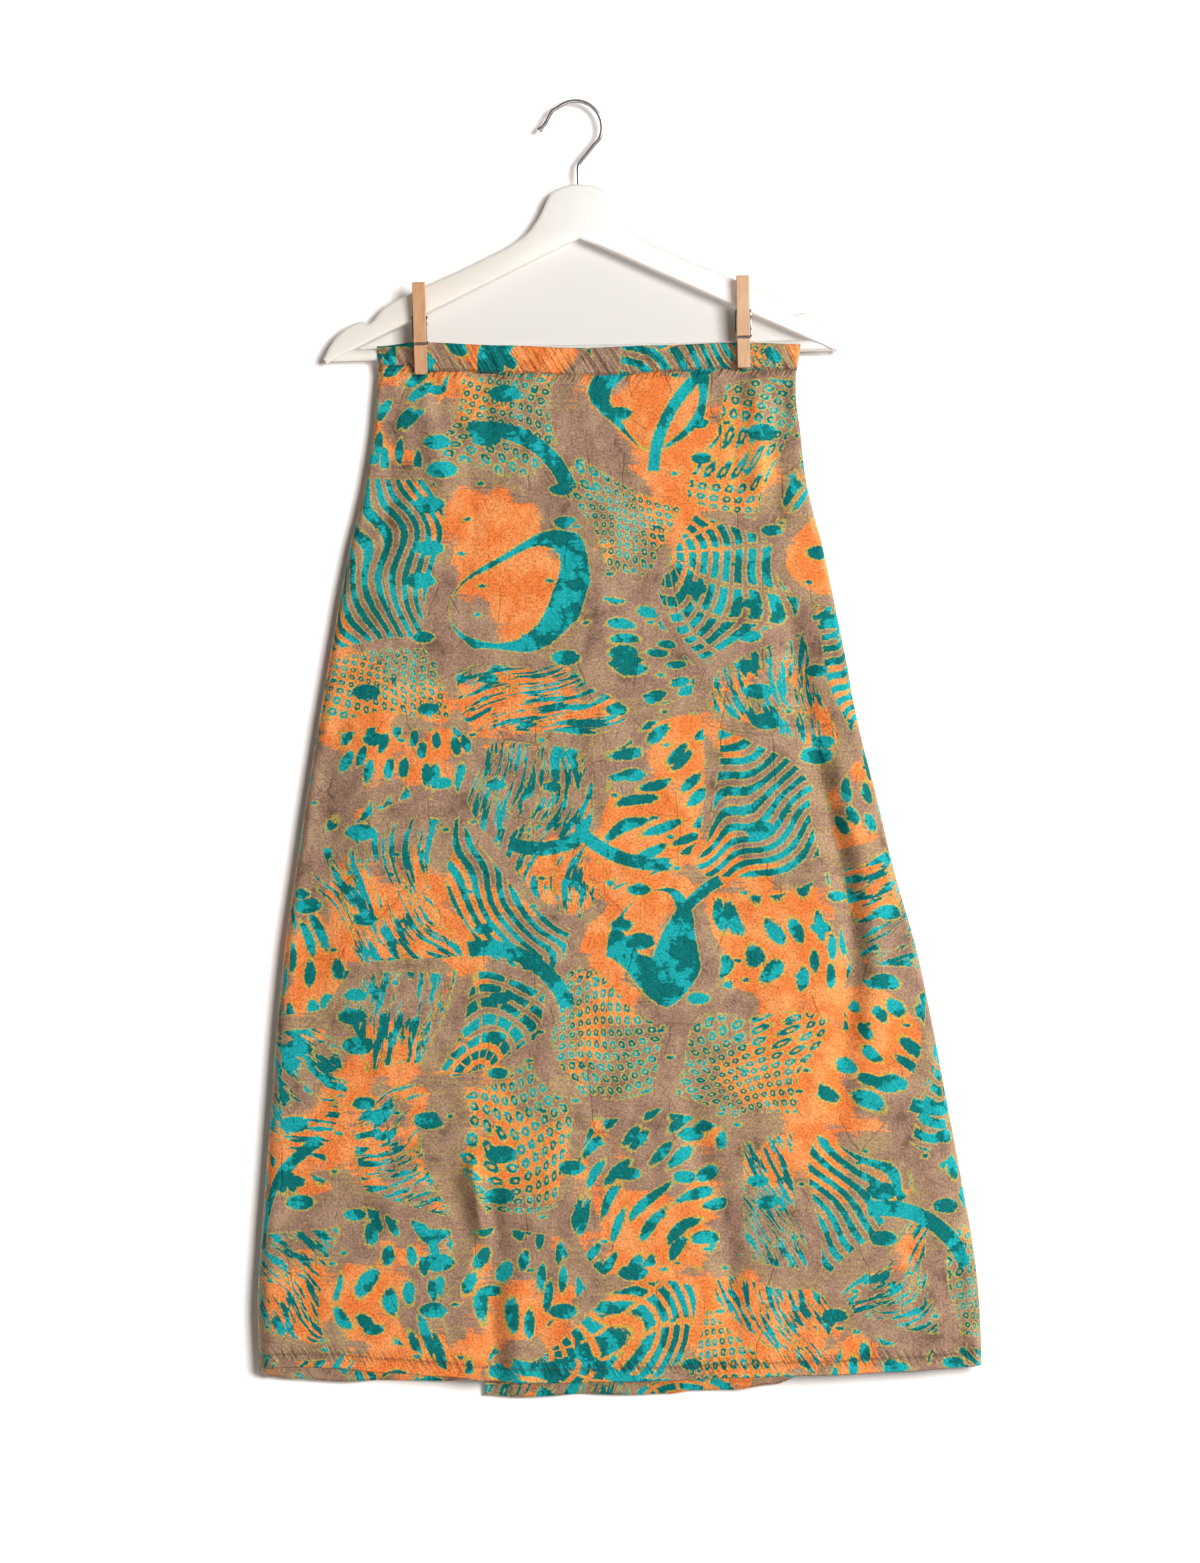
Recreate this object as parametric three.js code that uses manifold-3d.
// An a-line skirt held by two spring pegs on the trouser bar of a wooden clothes hanger.
// Millimetres, +Z up, the front of the skirt faces -Y. The origin is the point inside the
// top of the hook where a rail carries the hanger.
import * as THREE from 'three';
import { mergeVertices, mergeGeometries } from 'three/addons/utils/BufferGeometryUtils.js';
import Module from 'manifold-3d';

const wasm = await Module();
wasm.setup();
const { Manifold, Mesh: SolidMesh } = wasm;

// ------------------------------------------------------------------ driving dimensions
const GAP = 0.3;                    // clearance between neighbouring pieces
const TILT = THREE.MathUtils.degToRad(1.2); // the hanger hangs with its right end higher
const HANGER_X = 1.6;               // middle of the hanger, right of the hook's eye
const HANGER_THICK = 12;
const HANGER_ROUND = 2.5;           // rounding of the hanger's long edges
const BAR = { radius: 4.8, z: -205.7, halfLength: 207, clear: 0.6 }; // clear of the band behind it
const HOOK = { wire: 1.5, bend: 22, neckZ: -54, footZ: -84, knob: 2.3, knobLength: 1.8 };
const PEG = {
  length: 76, width: 10.5, thick: 6.6, tipThick: 4.6, handleCut: 3.6,
  barAt: 17.4, pivotAt: 45, wireAt: 25.8, pivotGap: 1.6, grip: 1.6, // grip: jaw line behind the bar
  lean: THREE.MathUtils.degToRad(12),
  wire: 0.7, coil: 2.5, turns: 6, offset: 133.8,
};
const CLOTH = 1.2;                  // wall of the cloth
const HEM = 12;                     // height of the turned-up hems
const SLIT_TOP = -877;              // upper end of the slit in the back
const SLIT_X = { top: -62, bottom: -75 };
const LAP = 7;                      // the right part laps over the left one along the slit

// The tube of the skirt: one row per height, with its left and right edges and the depth
// of the outer face of the front and of the back.
const row = (z, left, right, front, back) => ({ z, left, right, front, back });
const ROWS = [
  row(-224, -162.5, 183.6, -3.8, -0.3),
  row(-246, -164.5, 183.4, -5.2, 0.1),
  row(-272, -166.6, 186.8, -6.8, 0.7),
  row(-305, -171.6, 190.3, -8.4, 1.3),
  row(-330, -176.8, 195.2, -9.4, 2.0),
  row(-367, -185.9, 205.0, -10.8, 2.8),
  row(-408, -194.2, 213.8, -12.0, 3.5),
  row(-463, -203.4, 224.9, -13.4, 4.2),
  row(-512, -212.0, 234.1, -14.4, 4.8),
  row(-575, -221.8, 249.8, -15.6, 5.4),
  row(-637, -231.0, 264.5, -16.6, 6.0),
  row(-699, -240.0, 282.2, -17.6, 6.5),
  row(-762, -246.3, 295.7, -18.4, 7.0),
  row(-824, -251.0, 307.4, -19.2, 7.4),
  row(-886, -255.6, 318.9, -19.9, 7.8),
  row(-948, -260.2, 329.6, -20.6, 8.2),
  row(-997, -263.1, 335.0, -21.1, 8.6),
  row(-1049, -261.0, 337.0, -21.6, 9.0),
];

// Edges that are not level, each as points left to right.
const at = (x, z) => ({ x, z });
const WAIST_TOP = [at(-164, -202.8), at(-129, -199.4), at(-62, -201.9), at(3, -204.2),
  at(70, -201.9), at(137, -199.4), at(187, -201.1)];
const WAIST_SEAM = [at(-163, -222.6), at(-129, -222.6), at(3, -226.6), at(137, -221.0), at(186, -222.6)];
const HEM_FRONT = [at(-262, -1049.2), at(-212, -1053.5), at(-100, -1057.7), at(-75, -1061.8),
  at(-12, -1064.3), at(62, -1063.5), at(145, -1061.0), at(228, -1056.8), at(338, -1049.8)];
const HEM_BACK_LEFT = [at(-262, -1049.4), at(-240, -1055.2), at(-228, -1060.0), at(-162, -1060.6),
  at(-107, -1060.2), at(-60, -1059.0)];
const HEM_BACK_RIGHT = [at(-76, -1072.6), at(-37, -1073.4), at(37, -1070.1), at(81, -1070.7),
  at(124, -1067.6), at(166, -1059.3), at(205, -1055.0), at(338, -1049.4)];

// The largest folds: one row per fold, along its points from top to bottom, with its half
// width and its height. A height below zero is a trough.
const fold = (height, width, ...points) => ({ height, width, points });
const FRONT_FOLDS = [
  fold(3.4, 7, at(-161, -234), at(-154, -237), at(-148, -236)),         // pouch below the band
  fold(1.8, 11, at(-121, -250), at(-117, -275), at(-111, -315)),        // below the left peg
  fold(2.4, 11, at(150, -240), at(154, -268), at(153, -312)),           // below the right peg
  fold(-1.6, 9, at(172, -262), at(167, -290), at(166, -330)),
  fold(-3.0, 16, at(176, -430), at(190, -500), at(213, -600), at(227, -670),
    at(232, -705), at(226, -748), at(220, -828)),                       // long fold, right side
  fold(2.4, 15, at(220, -560), at(243, -650), at(249, -700), at(246, -760)),
  fold(-2.6, 12, at(94, -842), at(108, -883), at(120, -912), at(126, -960), at(130, -1008)),
  fold(2.2, 9, at(-90, -870), at(-82, -905), at(-72, -945)),            // above the slit
  fold(-2.4, 12, at(-72, -950), at(-69, -1000), at(-66, -1066)),
  fold(2.0, 12, at(-48, -990), at(-46, -1066)),
  fold(-2.2, 10, at(-236, -914), at(-205, -920), at(-168, -926)),
  fold(-2.4, 13, at(316, -965), at(312, -990)),
];
const BACK_FOLDS = [
  fold(1.6, 12, at(-120, -236), at(-126, -280), at(-133, -330)),
  fold(1.8, 12, at(120, -236), at(114, -290), at(112, -340)),
  fold(-2.4, 16, at(-170, -470), at(-190, -580), at(-196, -700)),
  fold(2.2, 16, at(40, -420), at(62, -560), at(70, -690)),
  fold(-2.6, 16, at(190, -560), at(215, -700), at(222, -850)),
  fold(2.0, 14, at(-150, -820), at(-160, -930), at(-164, -1062)),
  fold(-2.4, 15, at(120, -800), at(135, -920), at(142, -1066)),
  fold(2.2, 14, at(10, -870), at(4, -960), at(2, -1072)),
];

// ------------------------------------------------------------------ small mathematics
const { clamp, lerp, smoothstep } = THREE.MathUtils;

// Height of an uneven edge at x, eased between its points.
function edgeAt(points, x) {
  let i = points.findIndex((p) => p.x > x);
  if (i < 0) i = points.length - 1;
  i = Math.max(i, 1);
  const a = points[i - 1];
  const b = points[i];
  const t = clamp((x - a.x) / (b.x - a.x), 0, 1);
  return lerp(a.z, b.z, t * t * (3 - 2 * t));
}

// A row of the tube at any height, through the rows of the table on a Catmull-Rom curve.
function rowAt(z) {
  let i = ROWS.findIndex((r) => r.z < z);
  if (i < 0) i = ROWS.length - 1;
  i = clamp(i, 1, ROWS.length - 1);
  const r = [ROWS[Math.max(i - 2, 0)], ROWS[i - 1], ROWS[i], ROWS[Math.min(i + 1, ROWS.length - 1)]];
  const t = clamp((z - r[1].z) / (r[2].z - r[1].z), 0, 1);
  const through = (name) => {
    const [a, b, c, d] = r.map((q) => q[name]);
    return b + 0.5 * t * (c - a + t * (2 * a - 5 * b + 4 * c - d + t * (3 * (b - c) + d - a)));
  };
  return { left: through('left'), right: through('right'), front: through('front'), back: through('back') };
}

// How far a table of folds lifts the cloth at a point; each fold dies away past its ends.
function liftAt(folds, x, z) {
  let lift = 0;
  for (const { height, width, points } of folds) {
    let nearest = Infinity;
    for (let i = 1; i < points.length; i += 1) {
      const a = points[i - 1];
      const dx = points[i].x - a.x;
      const dz = points[i].z - a.z;
      const t = clamp(((x - a.x) * dx + (z - a.z) * dz) / (dx * dx + dz * dz), 0, 1);
      nearest = Math.min(nearest, Math.hypot(x - a.x - t * dx, (z - a.z - t * dz) * 0.6));
    }
    lift += height * Math.exp(-((nearest / width) ** 2));
  }
  return lift;
}

// ------------------------------------------------------------------ meshes and solids
// A closed wall between two grids of points of the same size.
function wallBetween(outer, inner) {
  const rows = outer.length;
  const columns = outer[0].length;
  const position = [...outer.flat(), ...inner.flat()].flatMap((p) => [p.x, p.y, p.z]);
  const index = [];
  const o = (r, c) => r * columns + c;
  const n = (r, c) => rows * columns + r * columns + c;
  const quad = (a, b, c, d) => index.push(a, b, c, a, c, d);
  for (let r = 0; r < rows - 1; r += 1) {
    for (let c = 0; c < columns - 1; c += 1) {
      quad(o(r, c), o(r + 1, c), o(r + 1, c + 1), o(r, c + 1));
      quad(n(r, c), n(r, c + 1), n(r + 1, c + 1), n(r + 1, c));
    }
    quad(o(r, 0), n(r, 0), n(r + 1, 0), o(r + 1, 0));
    quad(o(r, columns - 1), o(r + 1, columns - 1), n(r + 1, columns - 1), n(r, columns - 1));
  }
  for (let c = 0; c < columns - 1; c += 1) {
    quad(o(0, c), o(0, c + 1), n(0, c + 1), n(0, c));
    quad(o(rows - 1, c), n(rows - 1, c), n(rows - 1, c + 1), o(rows - 1, c + 1));
  }
  const geometry = new THREE.BufferGeometry();
  geometry.setAttribute('position', new THREE.Float32BufferAttribute(position, 3));
  geometry.setIndex(index);
  return facingOut(geometry);
}

// Turns a closed mesh right side out where its volume counts below zero.
function facingOut(geometry) {
  const p = geometry.getAttribute('position');
  const index = geometry.getIndex().array;
  const [a, b, c] = [new THREE.Vector3(), new THREE.Vector3(), new THREE.Vector3()];
  let volume = 0;
  for (let i = 0; i < index.length; i += 3) {
    a.fromBufferAttribute(p, index[i]);
    b.fromBufferAttribute(p, index[i + 1]);
    c.fromBufferAttribute(p, index[i + 2]);
    volume += a.dot(b.cross(c));
  }
  if (volume < 0) {
    for (let i = 0; i < index.length; i += 3) [index[i], index[i + 1]] = [index[i + 1], index[i]];
  }
  return geometry;
}

// Position and index only, with shared corners merged.
function bare(geometry) {
  geometry.deleteAttribute('normal');
  geometry.deleteAttribute('uv');
  return mergeVertices(geometry, 1e-4);
}

function toSolid(geometry) {
  const g = bare(geometry);
  return new Manifold(new SolidMesh({
    numProp: 3,
    vertProperties: new Float32Array(g.getAttribute('position').array),
    triVerts: new Uint32Array(g.getIndex().array),
  }));
}

function fromSolid(solid) {
  const mesh = solid.getMesh();
  const geometry = new THREE.BufferGeometry();
  geometry.setAttribute('position', new THREE.Float32BufferAttribute(mesh.vertProperties, 3));
  geometry.setIndex([...mesh.triVerts]);
  return geometry;
}

// A round rod between two points.
function rod(from, to, radius, sides) {
  const axis = new THREE.Vector3().subVectors(to, from);
  const geometry = new THREE.CylinderGeometry(radius, radius, axis.length(), sides);
  geometry.applyQuaternion(new THREE.Quaternion().setFromUnitVectors(
    new THREE.Vector3(0, 1, 0), axis.clone().normalize()));
  const middle = new THREE.Vector3().addVectors(from, to).multiplyScalar(0.5);
  return geometry.translate(middle.x, middle.y, middle.z);
}

// A wire of round section along a curve.
function wireAlong(curve, radius, sides, steps) {
  const section = new THREE.Shape(Array.from({ length: sides }, (_, i) => new THREE.Vector2(
    radius * Math.cos((2 * Math.PI * i) / sides), radius * Math.sin((2 * Math.PI * i) / sides))));
  return new THREE.ExtrudeGeometry(section, { steps, bevelEnabled: false, extrudePath: curve });
}

const group = new THREE.Group();
function add(parent, name, geometry, colour, roughness, metalness = 0) {
  const material = new THREE.MeshStandardMaterial({ color: colour, roughness, metalness });
  const mesh = new THREE.Mesh(geometry, material);
  mesh.name = name;
  parent.add(mesh);
  return mesh;
}

// ------------------------------------------------------------------ the cloth
// Height of the bar's middle under the hanger's tilt, which the waistband hangs in front of.
const barHeight = (x) => BAR.z * Math.cos(TILT) + (x + BAR.z * Math.sin(TILT)) * Math.tan(TILT);

// A point of the tube. `face` is -1 on the front and +1 on the back; `roll` turns from the
// outermost line of a side (0) to the flat of the face (1); `across` runs over the flat.
function tubePoint(face, station, z, height, inset, folds) {
  const r = rowAt(height);
  const middle = (r.front + r.back) / 2 + face * GAP / 2;
  const depth = Math.abs((face < 0 ? r.front : r.back) - middle);
  const full = smoothstep(depth, 2, 9);
  const rollY = lerp(depth, depth * 0.72, full);
  const rollX = Math.max(2.5, rollY * 1.1);
  const point = { x: 0, y: 0, z };
  const normal = { x: 0, y: face };
  if (station.side) {
    const turn = station.roll * Math.PI / 2;
    const edge = station.side < 0 ? r.left : r.right;
    point.x = edge - station.side * rollX * (1 - Math.cos(turn));
    point.y = middle + face * rollY * Math.sin(turn);
    const nx = (station.side * Math.cos(turn)) / rollX;
    const ny = (face * Math.sin(turn)) / rollY;
    normal.x = nx / Math.hypot(nx, ny);
    normal.y = ny / Math.hypot(nx, ny);
  } else {
    point.x = lerp(r.left + rollX, r.right - rollX, station.across);
    const bow = 1 - Math.abs(2 * station.across - 1) ** 2.4;
    point.y = middle + face * (rollY + (depth - rollY) * bow);
  }
  const ease = station.side ? station.roll : 1;
  const least = CLOTH + (station.side ? 0 : 0.05);
  const lifted = point.y + face * liftAt(folds, point.x, z) * ease * ease;
  point.y = face < 0 ? Math.min(lifted, Math.max(point.y, middle - least))
    : Math.max(lifted, Math.min(point.y, middle + least));
  const y = point.y - normal.y * inset;
  return {
    x: point.x - normal.x * inset,
    y: face < 0 ? Math.min(y, middle) : Math.max(y, middle),
    z,
  };
}

const rollStations = (side, angles) => angles.map((a) => ({ side, roll: a / 90 }));
const flatStations = (from, to, count) => Array.from({ length: count + 1 },
  (_, i) => ({ side: 0, across: lerp(from, to, i / count) }));

// Heights of the rows of a panel; the first one follows the waist seam, the last the hem.
const levels = (count, ...extra) => [
  ...Array.from({ length: count + 1 }, (_, i) => lerp(-223.5, -1049, (i / count) ** 1.12)), ...extra,
].sort((a, b) => b - a);

// A row's height where the column stands: the seam's sag fades out below the waist and
// the wave of the hem fades in near the bottom.
function columnHeight(level, x, hem) {
  const top = edgeAt(WAIST_SEAM, x) - GAP + 223.5;
  const bottom = edgeAt(hem, x) + 1049;
  return level + top * smoothstep(level, -330, -223.5) + bottom * smoothstep(-level, 860, 1049);
}

function panel(face, stations, heights, hem, folds) {
  const grid = (inset) => heights.map((level) => stations.map((station) => {
    const guess = tubePoint(face, station, level, level, 0, folds);
    return tubePoint(face, station, columnHeight(level, guess.x, hem), level, inset, folds);
  }));
  return wallBetween(grid(0), grid(CLOTH));
}

// The turned-up hem lies inside its panel, from the hem edge up.
function turnUp(face, stations, hem, folds) {
  const grid = (inset) => [HEM, HEM / 2, 0].map((up) => stations.map((station) => {
    const guess = tubePoint(face, station, -1049, -1049, inset, folds);
    return tubePoint(face, station, edgeAt(hem, guess.x) + up, -1049 + up, inset, folds);
  }));
  return wallBetween(grid(CLOTH + 2 * GAP), grid(2 * CLOTH + 2 * GAP));
}

const PRINT = 0x947b6b;
const cloth = new THREE.Group();
group.add(cloth);

const frontStations = [...rollStations(-1, [0, 30, 60]), ...flatStations(0, 1, 26),
  ...rollStations(1, [60, 30, 0])];
add(cloth, 'front_panel', panel(-1, frontStations, levels(29), HEM_FRONT, FRONT_FOLDS), PRINT, 0.75);

// The back is seamed down to the slit; below it the left part passes inside the right part.
const seamX = (level) => lerp(SLIT_X.top, SLIT_X.bottom, clamp((level + 224) / -825, 0, 1));
function seamAcross(level) {
  const from = tubePoint(1, { side: 0, across: 0 }, level, level, 0, []).x;
  const to = tubePoint(1, { side: 0, across: 1 }, level, level, 0, []).x;
  return (seamX(level) - from) / (to - from);
}
const slitOpen = (level) => smoothstep(-level, -SLIT_TOP, -SLIT_TOP + 34);
const slitStep = (level) => smoothstep(-level, -SLIT_TOP - 30, -SLIT_TOP);
const leftFlat = Array.from({ length: 9 }, (_, i) => ({ part: i / 8 }));
const rightFlat = Array.from({ length: 18 }, (_, i) => ({ part: i / 17 }));

function backPanel(stations, isLeft, heights, hem, build) {
  const placed = (station, level) => {
    if (station.side) return station;
    const seam = seamAcross(level);
    return { side: 0, across: isLeft ? seam * station.part : lerp(seam, 1, station.part) };
  };
  const shift = (station, level) => {
    if (station.side) return { x: 0, y: 0 };
    const near = isLeft ? station.part : 1 - station.part;
    if (!isLeft) return { x: near === 1 ? GAP / 2 : 0, y: 0 };
    const step = -(2 * CLOTH + 3 * GAP + 0.2) * smoothstep(near, 0.62, 1) * slitStep(level);
    const lap = near === 1 ? -GAP / 2 + (LAP + GAP) * slitOpen(level) : 0;
    return { x: lap, y: step };
  };
  return build(stations, placed, shift, heights, hem);
}

function backWall(stations, placed, shift, heights, hem) {
  const grid = (inset) => heights.map((level) => stations.map((s) => {
    const station = placed(s, level);
    const guess = tubePoint(1, station, level, level, 0, BACK_FOLDS);
    const z = columnHeight(level, guess.x, hem);
    const p = tubePoint(1, station, z, level, inset, BACK_FOLDS);
    const move = shift(s, level);
    return { x: p.x + move.x, y: p.y + move.y, z };
  }));
  return wallBetween(grid(0), grid(CLOTH));
}

function backTurnUp(stations, placed, shift, heights, hem) {
  const grid = (inset) => heights.map((up) => stations.map((s) => {
    const level = -1049 + up;
    const station = placed(s, level);
    const guess = tubePoint(1, station, -1049, -1049, inset, BACK_FOLDS);
    const z = edgeAt(hem, guess.x) + up;
    const p = tubePoint(1, station, z, level, inset, BACK_FOLDS);
    const move = shift(s, level);
    return { x: p.x + move.x, y: p.y + move.y, z };
  }));
  return wallBetween(grid(CLOTH + 2 * GAP), grid(2 * CLOTH + 2 * GAP));
}

const leftRoll = rollStations(-1, [0, 30, 60]);
const rightRoll = rollStations(1, [60, 30, 0]);
const backLevels = levels(22, SLIT_TOP + 15, SLIT_TOP, SLIT_TOP - 17, SLIT_TOP - 34);
add(cloth, 'back_panel_left',
  backPanel([...leftRoll, ...leftFlat], true, backLevels, HEM_BACK_LEFT, backWall), PRINT, 0.75);
add(cloth, 'back_panel_right',
  backPanel([...rightFlat, ...rightRoll], false, backLevels, HEM_BACK_RIGHT, backWall), PRINT, 0.75);

const hemLevels = [HEM, HEM / 2, 0];
add(cloth, 'front_hem', turnUp(-1, frontStations.slice(2, -2), HEM_FRONT, FRONT_FOLDS), 0x9a806e, 0.75);
add(cloth, 'back_hem_left',
  backPanel([leftRoll[2], ...leftFlat], true, hemLevels, HEM_BACK_LEFT, backTurnUp), 0xd9793f, 0.75);
add(cloth, 'back_hem_right',
  backPanel([...rightFlat, rightRoll[0]], false, hemLevels, HEM_BACK_RIGHT, backTurnUp), 0xd9793f, 0.75);

// The waistband: two flat strips in front of the bar, pressed back a little below it.
function bandStrip(face) {
  const near = -BAR.radius - BAR.clear;
  const outerY = face < 0 ? near - 2 * CLOTH - GAP : near;
  const columns = 30;
  const levelsUp = [1, 0.8, 0.55, 0.3, 0];
  const grid = (inset) => levelsUp.map((up) => Array.from({ length: columns + 1 }, (_, i) => {
    const t = i / columns;
    const x = lerp(lerp(-162.6, -164.2, up), lerp(184.0, 187.0, up), t);
    const z = lerp(edgeAt(WAIST_SEAM, x), edgeAt(WAIST_TOP, x), up);
    const y = outerY - face * inset + Math.max(0, barHeight(x) - z) * Math.tan(PEG.lean);
    return { x, y, z };
  }));
  return wallBetween(grid(0), grid(CLOTH));
}
add(cloth, 'waistband_front', bandStrip(-1), 0xd98a50, 0.75);
add(cloth, 'waistband_back', bandStrip(1), 0x9c7f68, 0.75);

// ------------------------------------------------------------------ the hanger
const hanger = new THREE.Group();
hanger.rotation.y = -TILT;
group.add(hanger);

// Half of the outline, from the crown out to the tip and back along the lower edge.
const HANGER_HALF = [
  [0, -67.8], [11.4, -69.2], [20.5, -72.8], [23.6, -76.5], [26.4, -81.0], [30.9, -90.6],
  [35.2, -97.8], [40.6, -105.2], [48.2, -112.2], [59.7, -118.8], [91.0, -133.6], [126.7, -148.9],
  [138.9, -154.6], [150.2, -159.6], [161.3, -165.4], [167.6, -171.4], [171.8, -177.0],
  [174.6, -179.6], [177.6, -180.3], [180.2, -178.8], [183.0, -177.9], [188.3, -179.6],
  [195.8, -183.5], [203.3, -190.2], [209.6, -198.8], [214.4, -208.4], [212.0, -211.9],
  [199.4, -206.0], [144.0, -180.2], [127.2, -172.2], [30.0, -126.4], [0, -112.6],
];
function hangerGeometry(grow) {
  const outline = new THREE.Shape();
  HANGER_HALF.forEach(([x, z], i) => (i ? outline.lineTo(x, z) : outline.moveTo(x, z)));
  HANGER_HALF.slice(1, -1).reverse().forEach(([x, z]) => outline.lineTo(-x, z));
  const geometry = new THREE.ExtrudeGeometry(outline, {
    depth: HANGER_THICK - 2 * HANGER_ROUND,
    bevelThickness: HANGER_ROUND + grow,
    bevelSize: HANGER_ROUND,
    bevelOffset: grow - HANGER_ROUND,
    bevelSegments: 3,
  });
  geometry.translate(0, 0, -(HANGER_THICK / 2 - HANGER_ROUND));
  return geometry.rotateX(Math.PI / 2).translate(HANGER_X, 0, 0);
}

const neckX = HANGER_X;
const bore = toSolid(rod(new THREE.Vector3(neckX, 0, HOOK.footZ - GAP),
  new THREE.Vector3(neckX, 0, -60), HOOK.wire + GAP, 16));
const hangerBody = toSolid(hangerGeometry(0)).subtract(bore);
add(hanger, 'hanger_body', fromSolid(hangerBody), 0xf4f1ea, 0.35);

const barRod = toSolid(rod(new THREE.Vector3(HANGER_X - BAR.halfLength, 0, BAR.z),
  new THREE.Vector3(HANGER_X + BAR.halfLength, 0, BAR.z), BAR.radius, 24));
const barPieces = barRod.subtract(toSolid(hangerGeometry(GAP))).decompose();
const bar = barPieces.reduce((a, b) => (a.volume() > b.volume() ? a : b));
add(hanger, 'trouser_bar', fromSolid(bar), 0xf4f1ea, 0.35);

// The hook: a wire bent round the rail, straight down its neck into the crown.
const bendMiddle = -HOOK.bend + HOOK.wire;
const hookPath = [[-29.9, -22.0], [-27.2, -19.6], [-24.4, -16.0], [-21.6, -10.8], [-18.6, -6.2]];
for (let angle = 132; angle >= -28; angle -= 16) {
  const a = THREE.MathUtils.degToRad(angle);
  hookPath.push([HOOK.bend * Math.cos(a), bendMiddle + HOOK.bend * Math.sin(a)]);
}
hookPath.push([15.0, -35.6], [9.4, -42.4], [4.2, -48.4], [2.2, -51.4], [neckX, HOOK.neckZ - 1.5],
  [neckX, -60], [neckX, -72], [neckX, HOOK.footZ]);
const hookCurve = new THREE.CatmullRomCurve3(
  hookPath.map(([x, z]) => new THREE.Vector3(x, 0, z)), false, 'centripetal');
const tipDirection = hookCurve.getTangent(0);
const tip = hookCurve.getPoint(0);
const knob = rod(tip.clone().addScaledVector(tipDirection, -0.6),
  tip.clone().addScaledVector(tipDirection, HOOK.knobLength), HOOK.knob, 12);
const hookSolid = toSolid(wireAlong(hookCurve, HOOK.wire, 10, 72)).add(toSolid(knob));
add(hanger, 'hook', fromSolid(hookSolid), 0xb4b4b6, 0.22, 1);

// ------------------------------------------------------------------ the pegs
// A leg lies along d from its tip, its depth along n away from the other leg.
const barSide = BAR.radius + BAR.clear + 2 * CLOTH + 2 * GAP; // inner face of the front leg
const legs = (() => {
  const dFront = new THREE.Vector3(0, -Math.sin(PEG.lean), Math.cos(PEG.lean));
  const front = { d: dFront, n: new THREE.Vector3(0, -Math.cos(PEG.lean), -Math.sin(PEG.lean)) };
  front.tip = new THREE.Vector3(0, -barSide, 0).addScaledVector(dFront, -PEG.barAt);
  const pivot = front.tip.clone().addScaledVector(dFront, PEG.pivotAt);
  const pivotBack = pivot.clone().addScaledVector(front.n, -PEG.pivotGap);
  const open = Math.atan2(PEG.grip - pivotBack.y, pivotBack.z);
  const dBack = new THREE.Vector3(0, -Math.sin(open), Math.cos(open));
  const back = { d: dBack, n: new THREE.Vector3(0, Math.cos(open), Math.sin(open)) };
  back.tip = pivotBack.clone().addScaledVector(dBack, -PEG.pivotAt);
  const coil = pivot.clone().add(pivotBack).multiplyScalar(0.5);
  return { front, back, coil };
})();

const arc = (s, w, radius, from, to, count) => Array.from({ length: count + 1 }, (_, i) => {
  const a = THREE.MathUtils.degToRad(lerp(from, to, i / count));
  return [s + radius * Math.cos(a), w + radius * Math.sin(a)];
});

// The outline of a leg, along its length and its depth, with a round seat for the bar at
// `seatAt` along it, whose middle lies `middleDepth` into it.
function legOutline(seatAt, middleDepth) {
  const seat = BAR.radius + GAP;
  const coilSeat = PEG.coil + PEG.wire + 1.7 * GAP;
  const along = (radius, depth) => THREE.MathUtils.radToDeg(Math.acos(
    clamp(Math.sqrt(radius * radius - depth * depth) / radius, -1, 1)));
  const seatEdge = along(seat, middleDepth);
  const coilEdge = along(coilSeat, PEG.pivotGap / 2);
  return [
    [0, 1.4], [0.4, 0.5], [1.4, 0],
    ...arc(seatAt, middleDepth, seat, 180 - seatEdge, seatEdge, 8),
    ...arc(PEG.pivotAt, -PEG.pivotGap / 2, coilSeat, 180 - coilEdge, coilEdge, 8),
    [49.5, 0], [PEG.length - 0.6, PEG.handleCut], [PEG.length, PEG.handleCut + 0.5],
    [PEG.length, PEG.thick - 0.6], [PEG.length - 0.6, PEG.thick],
    [PEG.wireAt + 1.3, PEG.thick], [PEG.wireAt + 1.0, PEG.thick - 1.0],
    [PEG.wireAt + 0.4, PEG.thick - 1.35], [PEG.wireAt - 0.4, PEG.thick - 1.35],
    [PEG.wireAt - 1.0, PEG.thick - 1.0], [PEG.wireAt - 1.3, PEG.thick],
    [23.5, PEG.thick], [2.5, PEG.tipThick + 0.1], [0.6, PEG.tipThick - 0.4], [0, PEG.tipThick - 1.2],
  ];
}

function legGeometry({ tip: t, d, n }) {
  const chamfer = 0.35;
  const seatDepth = -PEG.grip * Math.cos(Math.atan2(-legs.back.d.y, legs.back.d.z));
  const seatAt = -t.dot(d);
  const geometry = new THREE.ExtrudeGeometry(
    new THREE.Shape(legOutline(seatAt, seatDepth).map(([s, w]) => new THREE.Vector2(s, w))), {
      depth: PEG.width - 2 * chamfer, bevelThickness: chamfer, bevelSize: chamfer,
      bevelOffset: -chamfer, bevelSegments: 1,
    });
  geometry.translate(0, 0, -(PEG.width / 2 - chamfer));
  const across = new THREE.Vector3().crossVectors(d, n);
  return geometry.applyMatrix4(new THREE.Matrix4().makeBasis(d, n, across).setPosition(t));
}

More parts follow.
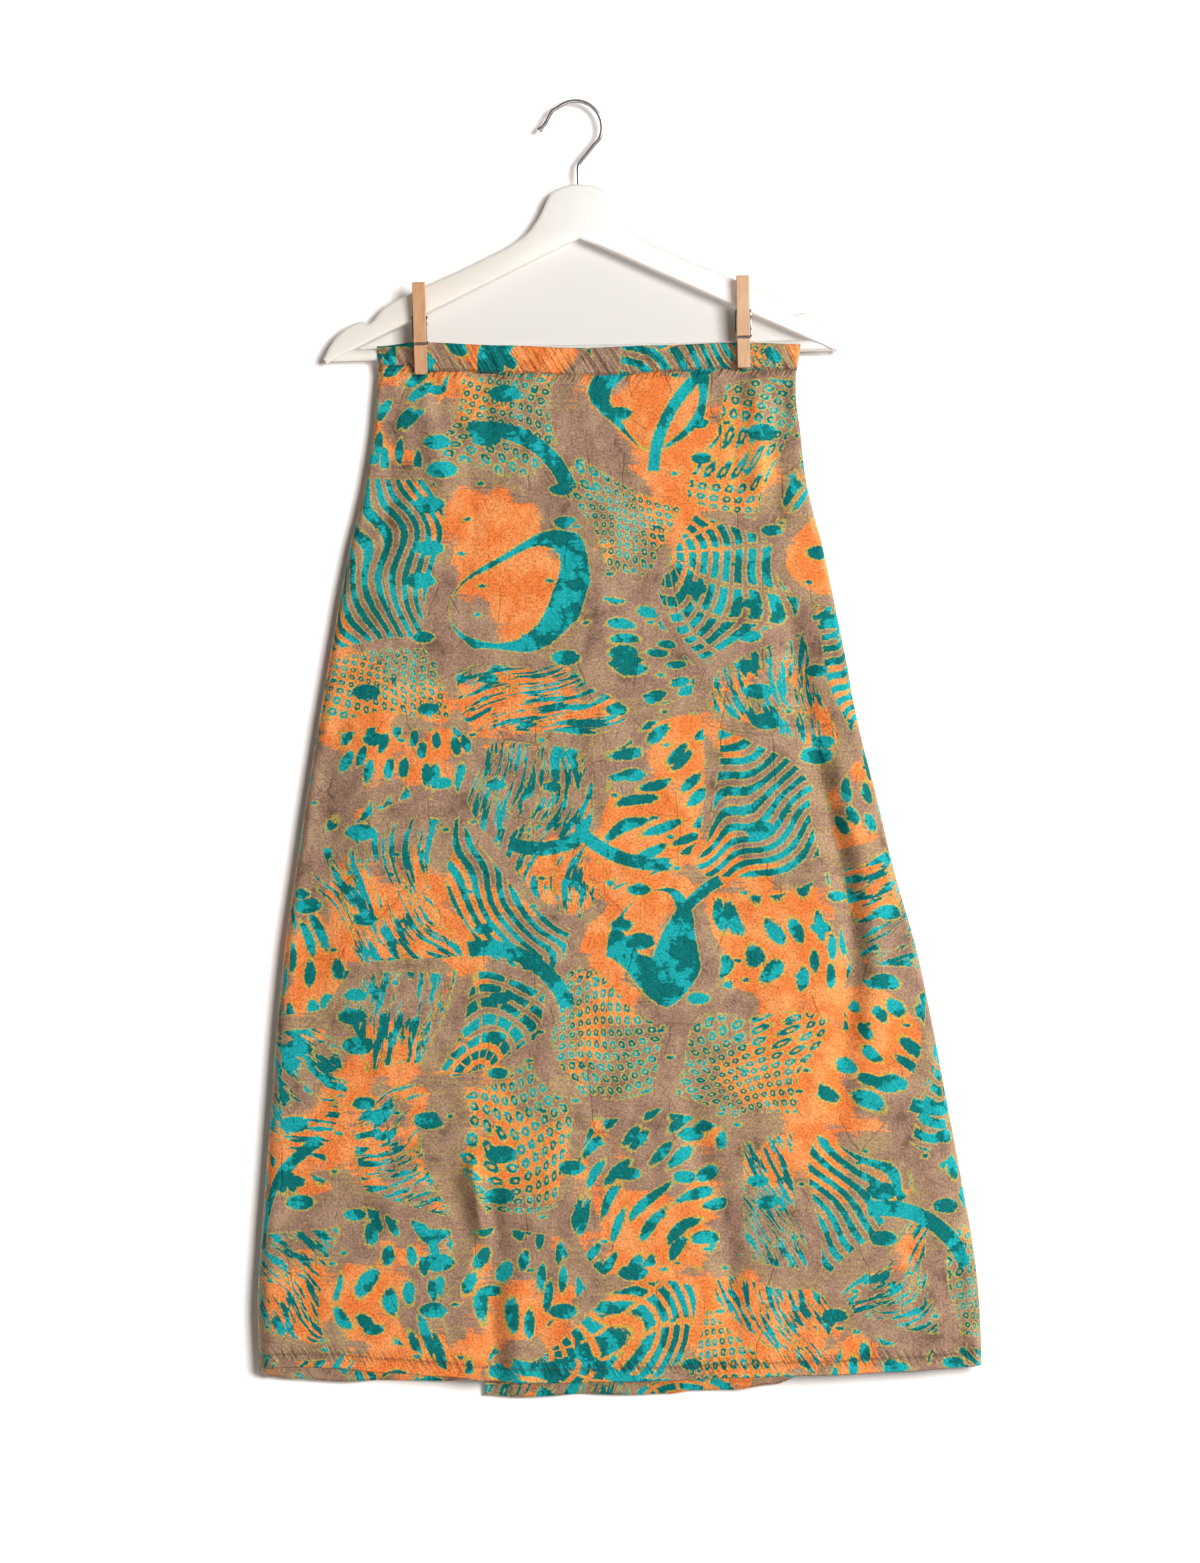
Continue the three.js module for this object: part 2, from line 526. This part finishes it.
// The spring: cross wire on the front leg, side arm, coil, side arm, cross wire on the back leg.
function springGeometry() {
  const { front, back, coil } = legs;
  const notch = (leg) => leg.tip.clone().addScaledVector(leg.d, PEG.wireAt)
    .addScaledVector(leg.n, PEG.thick - 1.35 + GAP + PEG.wire);
  const side = PEG.width / 2 + GAP + PEG.wire;
  // Angle, in the plane across the coil, at which a straight arm from `p` meets the coil.
  const touch = (p, turn) => {
    const dy = p.y - coil.y;
    const dz = p.z - coil.z;
    return Math.atan2(dz, dy) + turn * Math.acos(PEG.coil / Math.hypot(dy, dz));
  };
  const a = notch(front);
  const b = notch(back);
  let start = touch(a, -1);
  let end = touch(b, 1);
  while (start < Math.PI / 2) start += 2 * Math.PI;
  while (end > Math.PI / 2) end -= 2 * Math.PI;
  end -= 2 * Math.PI * (PEG.turns - 1);
  const points = [
    new THREE.Vector3(-PEG.width / 2 + 0.8, a.y, a.z), new THREE.Vector3(0, a.y, a.z),
    new THREE.Vector3(side - 1.6, a.y, a.z), new THREE.Vector3(side - 0.4, a.y, a.z),
  ];
  const onCoil = (x, angle) => new THREE.Vector3(x,
    coil.y + PEG.coil * Math.cos(angle), coil.z + PEG.coil * Math.sin(angle));
  const armTop = onCoil(side, start);
  const armFoot = new THREE.Vector3(side, a.y, a.z);
  points.push(...[0.05, 0.2, 0.6].map((t) => armFoot.clone().lerp(armTop, t)));
  const steps = PEG.turns * 10;
  for (let i = 0; i <= steps; i += 1) {
    points.push(onCoil(lerp(side, -side, i / steps), lerp(start, end, i / steps)));
  }
  const backTop = onCoil(-side, end);
  const backFoot = new THREE.Vector3(-side, b.y, b.z);
  points.push(...[0.4, 0.8, 0.95].map((t) => backTop.clone().lerp(backFoot, t)),
    new THREE.Vector3(-side + 0.4, b.y, b.z), new THREE.Vector3(-side + 1.6, b.y, b.z),
    new THREE.Vector3(0, b.y, b.z), new THREE.Vector3(PEG.width / 2 - 0.8, b.y, b.z));
  const curve = new THREE.CatmullRomCurve3(points, false, 'centripetal');
  curve.arcLengthDivisions = 2000;
  return wireAlong(curve, PEG.wire, 6, 150);
}

for (const [name, sign, wood] of [['peg_left', -1, 0xd4a077], ['peg_right', 1, 0xe3b78a]]) {
  const peg = new THREE.Group();
  peg.position.set(HANGER_X + sign * PEG.offset, 0, BAR.z);
  hanger.add(peg);
  add(peg, `${name}_front_leg`, legGeometry(legs.front), wood, 0.6);
  add(peg, `${name}_back_leg`, legGeometry(legs.back), wood, 0.6);
  add(peg, `${name}_spring`, springGeometry(), 0xa9abad, 0.3, 1);
}

// Every piece is handed on as plain triangles with shared corners merged.
group.traverse((node) => {
  if (node.isMesh) node.geometry = facingOut(bare(mergeGeometries([node.geometry.index
    ? node.geometry : mergeVertices(bare(node.geometry), 1e-4)])));
});

export default group;
